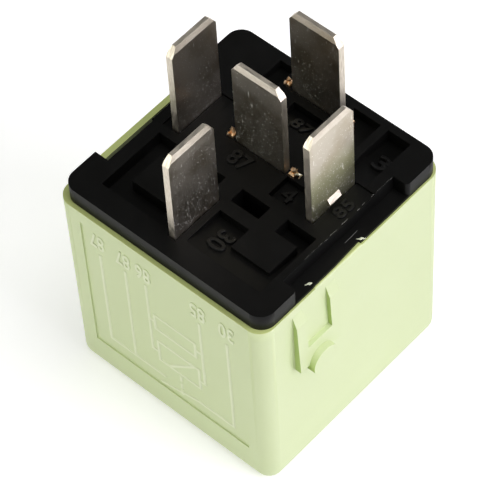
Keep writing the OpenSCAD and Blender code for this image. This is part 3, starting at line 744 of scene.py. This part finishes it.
def paper():
    mat, tree, _ = start_material("white_paper")
    sheet = add(tree, "ShaderNodeBsdfDiffuse", {"Color": linear("#F4F4F4")})
    rays = add(tree, "ShaderNodeLightPath")
    seen = add(tree, "ShaderNodeMath", {0: rays.outputs["Is Camera Ray"],
                                        1: rays.outputs["Is Glossy Ray"]}, operation="MAXIMUM")
    seen = add(tree, "ShaderNodeMath", {0: seen.outputs["Value"],
                                        1: rays.outputs["Is Transmission Ray"]},
               operation="MAXIMUM")
    lift = add(tree, "ShaderNodeMath", {0: seen.outputs["Value"], 1: PAPER_LIFT},
               operation="MULTIPLY")
    glow = add(tree, "ShaderNodeEmission", {"Color": (1, 1, 1, 1),
                                            "Strength": lift.outputs["Value"]})
    both = add(tree, "ShaderNodeAddShader", {0: sheet.outputs[0], 1: glow.outputs[0]})
    add(tree, "ShaderNodeOutputMaterial", {"Surface": both.outputs[0]})
    return mat

print("paper is lifted by", PAPER_LIFT)

# %% [markdown]
# The paper lies flat under the relay and curves up into a low wall all round, so no
# corner or horizon shows. One profile, a floor line with a quarter arc and a short wall,
# is spun about the upright axis. It is stage, not part of the relay.

# %% Round sweep
def studio_sweep(radius=700, wall=330, bend=120, arc_steps=8, turns=64):
    bm = bmesh.new()
    profile = [Vector((0, 0, 0)), Vector((radius - bend, 0, 0))]
    for i in range(1, arc_steps + 1):
        a = math.radians(90 * i / arc_steps)
        profile.append(Vector((radius - bend + bend * math.sin(a), 0, bend - bend * math.cos(a))))
    profile.append(Vector((radius, 0, wall)))
    verts = [bm.verts.new(p * MM) for p in profile]
    edges = [bm.edges.new(pair) for pair in zip(verts[:-1], verts[1:])]
    bmesh.ops.spin(bm, geom=verts + edges, axis=(0, 0, 1), cent=(0, 0, 0), steps=turns,
                   angle=math.tau)
    bmesh.ops.remove_doubles(bm, verts=bm.verts, dist=0.01 * MM)
    mesh = bpy.data.meshes.new("studio_sweep")
    bm.to_mesh(mesh)
    bm.free()
    mesh.materials.append(paper())
    mesh.shade_smooth()
    obj = bpy.data.objects.new("studio_sweep", mesh)
    obj.location.z = cad_box[0][2] - 0.02 * MM
    bpy.context.scene.collection.objects.link(obj)
    print("sweep:", len(mesh.polygons), "faces")

studio_sweep()

# %% [markdown]
# The light is plain and soft. The key lamp is a large panel to the right, so the clip
# side is the brightest, a second panel hangs above, and a weak fill keeps the diagram
# side readable. The world is a weak even grey.

# %% World and lamps
def lamp(name, place, target, size, power, colour):
    light = bpy.data.lights.new(name, "AREA")
    light.color = colour
    light.shape = "RECTANGLE"
    light.size, light.size_y = size
    light.energy = power
    obj = bpy.data.objects.new(name, light)
    obj.location = Vector(place)
    obj.rotation_euler = (Vector(target) - Vector(place)).to_track_quat("-Z", "Y").to_euler()
    bpy.context.scene.collection.objects.link(obj)

world = bpy.data.worlds.new("studio")
bpy.context.scene.world = world
world.use_nodes = True
world.node_tree.nodes.clear()
room = add(world.node_tree, "ShaderNodeBackground", {"Color": (1, 1, 1, 1), "Strength": 0.07})
add(world.node_tree, "ShaderNodeOutputWorld", {"Surface": room.outputs[0]})
AIM = (0, 0, 0.02)             # in metres, as the lamps' places and sizes are
lamp("key_right", (0.38, 0.10, 0.22), AIM, (0.30, 0.30), 1.15, (1.0, 0.97, 1.08))
lamp("top", (0.10, 0.05, 0.55), AIM, (0.35, 0.35), 1.2, (1.0, 1.0, 1.0))
lamp("fill_left", (-0.14, -0.42, 0.24), AIM, (0.30, 0.30), 0.70, (1.0, 1.02, 0.90))
print("lamps:", [light.name for light in bpy.data.lights])

# %% [markdown]
# ## The camera
# The view looks down on the near corner, about 53 degrees above the table, through a
# long lens that keeps the upright edges almost parallel, with a slight roll. The camera
# is placed by its angles round a point in the middle of the case, and then moved a
# little sideways and up to centre the relay.

# %% Camera
AZIMUTH, ELEVATION, ROLL = (math.radians(a) for a in (44.744, 53.449, -3.953))
DISTANCE, MOVE_RIGHT, MOVE_UP = 311.95, -0.476, 1.075     # in mm
MIDDLE = Vector((0, 0, 13))
SENSOR_MM, LENS_MM = 36, 221.30568

def set_camera():
    back = Vector((math.sin(AZIMUTH) * math.cos(ELEVATION),
                   -math.cos(AZIMUTH) * math.cos(ELEVATION), math.sin(ELEVATION)))
    right = Vector((math.cos(AZIMUTH), math.sin(AZIMUTH), 0))
    up = back.cross(right)
    c, s = math.cos(ROLL), math.sin(ROLL)
    right, up = right * c + up * s, up * c - right * s
    place = MIDDLE + back * DISTANCE + right * MOVE_RIGHT + up * MOVE_UP
    cam = bpy.data.cameras.new("camera")
    cam.sensor_width = SENSOR_MM
    cam.lens = LENS_MM
    cam.clip_start, cam.clip_end = 0.01, 5
    obj = bpy.data.objects.new("camera", cam)
    turn = Matrix((right, up, back)).transposed().to_4x4()
    obj.matrix_world = Matrix.Translation(place * MM) @ turn
    bpy.context.scene.collection.objects.link(obj)
    bpy.context.scene.camera = obj
    print("camera at", [round(v, 1) for v in place], "mm, lens", round(cam.lens, 1))

set_camera()
bpy.context.scene.view_settings.view_transform = "Standard"
